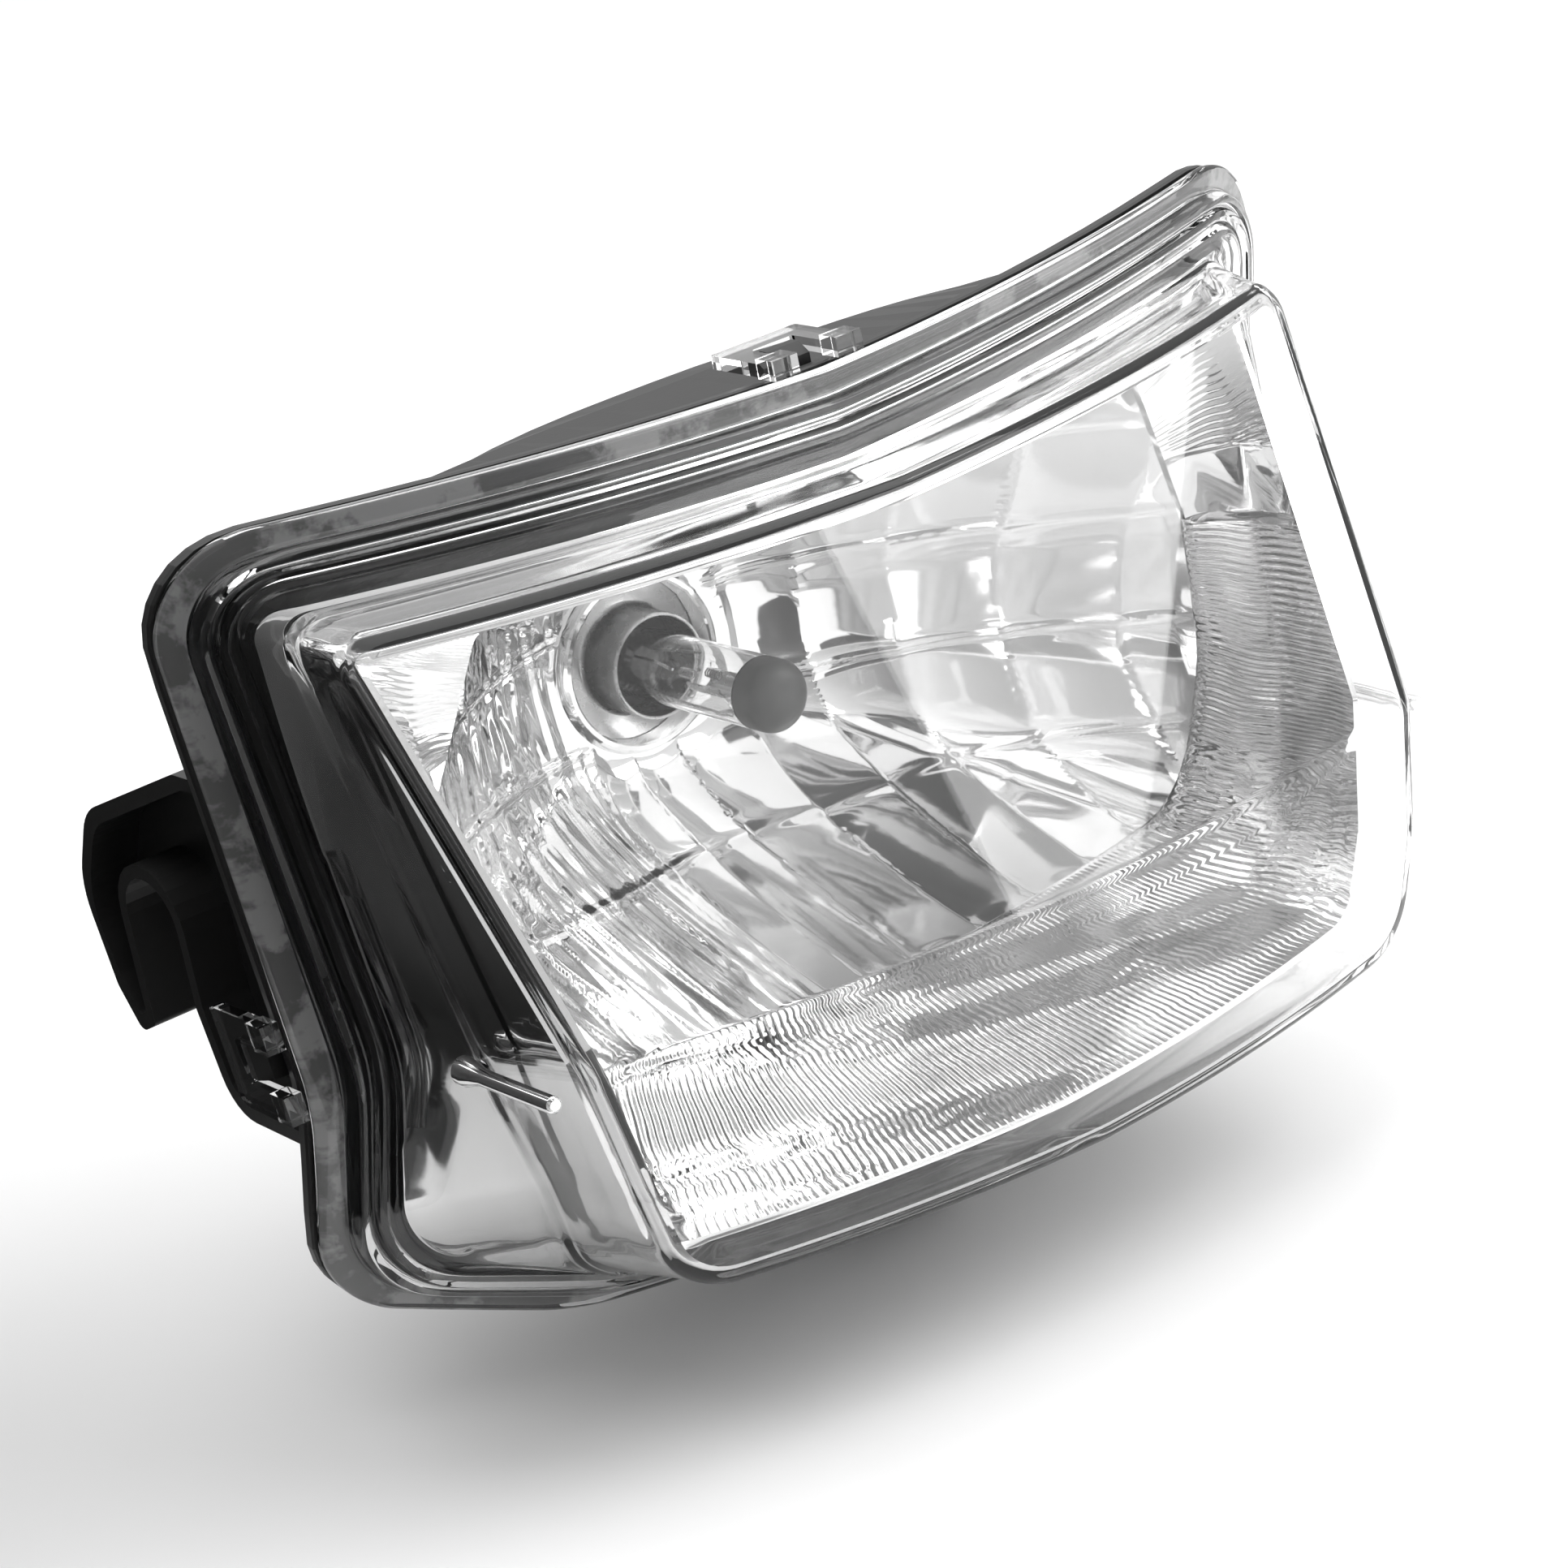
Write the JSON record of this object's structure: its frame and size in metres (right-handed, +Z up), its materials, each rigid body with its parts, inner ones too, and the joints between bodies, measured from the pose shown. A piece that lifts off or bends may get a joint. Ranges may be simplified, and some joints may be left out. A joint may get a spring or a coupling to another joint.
{
  "type": "vehicle headlight",
  "caption": "Headlight with a clear stepped lens over a mirror bowl and a two-filament bulb, in a black shell with side hooks, snap clips and a rear rubber boot.",
  "frame": {"origin": "middle of the foot of the lug under the shell", "axes": "+Z up, the lamp shines towards -Y, +X to the right seen from the front; the same on both sides of X = 0"},
  "size_m": [0.2958, 0.1965, 0.2104],
  "materials": {
    "clear_plastic": "clear, polished",
    "black_plastic": "moulded black",
    "black_rubber": "matt",
    "mirror_plastic": "metallised",
    "steel": "plated",
    "clear_glass": "clear",
    "grey_paint": "satin dark coating",
    "black_base": "moulded black",
    "contact_metal": "plain"
  },
  "bodies": {
    "lamp": {"lens": "clear_plastic", "lens_seal": "black_rubber", "housing": "black_plastic", "bezel": "mirror_plastic", "reflector": "mirror_plastic", "bulb_holder": "steel", "holder_screw_1": "steel", "holder_screw_2": "steel", "holder_screw_3": "steel", "vent_cap": "black_rubber"},
    "clip_top": {"lens_clip_top": "clear_plastic"},
    "clip_left": {"lens_clip_left": "clear_plastic"},
    "clip_right": {"lens_clip_right": "clear_plastic"},
    "boot": {"rear_boot": "black_rubber"},
    "wire": {"retaining_wire": "steel"},
    "bulb": {"bulb_collar": "steel", "bulb_glass": "clear_glass", "bulb_tip_paint": "grey_paint", "bulb_stem": "clear_glass", "bulb_base": "black_base", "filament_low": "steel", "filament_high": "steel", "filament_shield": "steel", "support_wire_front": "steel", "support_wire_middle": "steel", "support_wire_rear": "steel", "terminal_top": "contact_metal", "terminal_left": "contact_metal", "terminal_right": "contact_metal"}
  },
  "joints": [
    {"name": "clip_top_flex", "type": "hinge", "parent": "lamp", "child": "clip_top", "pos_m": [0, -0.0395, 0.2077], "axis": [1, 0, 0], "range_deg": [0, 10], "stiffness_Nm_per_rad": 0.4},
    {"name": "clip_left_flex", "type": "hinge", "parent": "lamp", "child": "clip_left", "pos_m": [-0.1383, 0.0019, 0.0895], "axis": [-0.0995, 0, 0.995], "range_deg": [0, 10], "stiffness_Nm_per_rad": 0.4},
    {"name": "clip_right_flex", "type": "hinge", "parent": "lamp", "child": "clip_right", "pos_m": [0.1383, 0.0019, 0.0895], "axis": [-0.0995, 0, -0.995], "range_deg": [0, 10], "stiffness_Nm_per_rad": 0.4},
    {"name": "boot_pull", "type": "slide", "parent": "lamp", "child": "boot", "axis": [0, 1, 0], "range_m": [0, 0.12]},
    {"name": "wire_swing", "type": "hinge", "parent": "lamp", "child": "wire", "pos_m": [0, 0.0627, 0.1545], "axis": [1, 0, 0], "range_deg": [0, 100]},
    {"name": "bulb_pull", "type": "slide", "parent": "lamp", "child": "bulb", "axis": [0, 1, 0], "range_m": [0, 0.052]}
  ],
  "couplings": [
    {"joint": "wire_swing", "follows": "boot_pull", "rad_per_m": 14.5},
    {"joint": "bulb_pull", "follows": "boot_pull", "ratio": 0.43}
  ]
}
